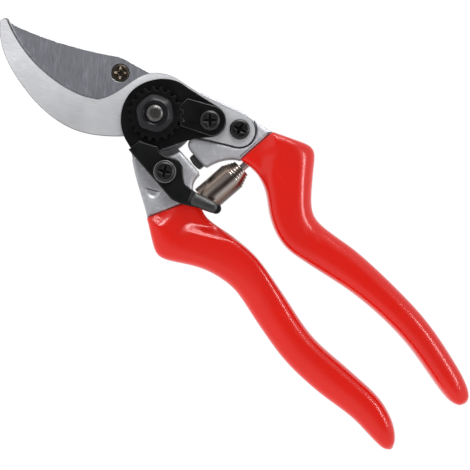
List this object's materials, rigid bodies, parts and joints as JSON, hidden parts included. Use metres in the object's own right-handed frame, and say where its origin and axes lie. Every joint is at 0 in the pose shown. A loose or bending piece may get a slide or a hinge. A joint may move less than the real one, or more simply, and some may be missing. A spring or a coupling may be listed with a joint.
{
  "type": "pruning shears",
  "caption": "Bypass pruning shears with two dipped grips, a crescent hook blade, a convex cutting blade, a volute spring and a thumb catch.",
  "frame": {"origin": "on the pivot axis, at the underside of the pivot bolt's head, in the plane the closed tool lies on", "axes": "+X along the closed tool from the pivot to the jaws, +Z along the pivot axis to the nut side"},
  "size_m": [0.2091, 0.0663, 0.0214],
  "materials": {
    "casting": "satin cast and blasted, light grey",
    "grip": "glossy red dipped vinyl",
    "hook_steel": "bright, finely brushed",
    "blade_steel": "dark ground steel",
    "black_steel": "satin black",
    "screw_steel": "glossy black oxide",
    "bronze_screw": "brown, worn",
    "bronze_bush": "plain machined bronze",
    "plain_steel": "zinc plated, machined",
    "spring_steel": "nickel plated strip",
    "catch_black": "satin black, worn edges",
    "rubber": "matt black"
  },
  "bodies": {
    "hook_handle": {"hook_handle_casting": "casting", "hook_handle_grip": "grip", "hook_blade": "hook_steel", "pivot_bolt": "black_steel", "pivot_washer": "plain_steel", "lock_plate": "black_steel", "toothed_nut": "black_steel", "toothed_segment": "black_steel", "segment_screw": "screw_steel", "tang_screw": "screw_steel", "stop_cushion": "rubber", "hook_side_spring_stud": "plain_steel"},
    "blade_handle": {"blade_handle_casting": "casting", "blade_handle_grip": "grip", "cutting_blade": "blade_steel", "blade_screw": "bronze_screw", "pivot_bush": "bronze_bush", "catch_bush": "plain_steel", "catch_washer": "plain_steel", "catch_screw": "screw_steel", "blade_side_spring_stud": "plain_steel", "return_spring": "spring_steel"},
    "catch": {"thumb_catch": "catch_black"}
  },
  "joints": [
    {"name": "handle_pivot", "type": "hinge", "parent": "hook_handle", "child": "blade_handle", "pos_m": [0, 0, 0.0095], "axis": [0, 0, -1], "range_deg": [0, 30], "stiffness_Nm_per_rad": 0.6, "springref_deg": 68.75, "deforming": ["return_spring"]},
    {"name": "catch_pivot", "type": "hinge", "parent": "blade_handle", "child": "catch", "pos_m": [-0.0173, 0.0107, 0.0167], "axis": [0, 0, 1], "range_deg": [0, 22]}
  ]
}
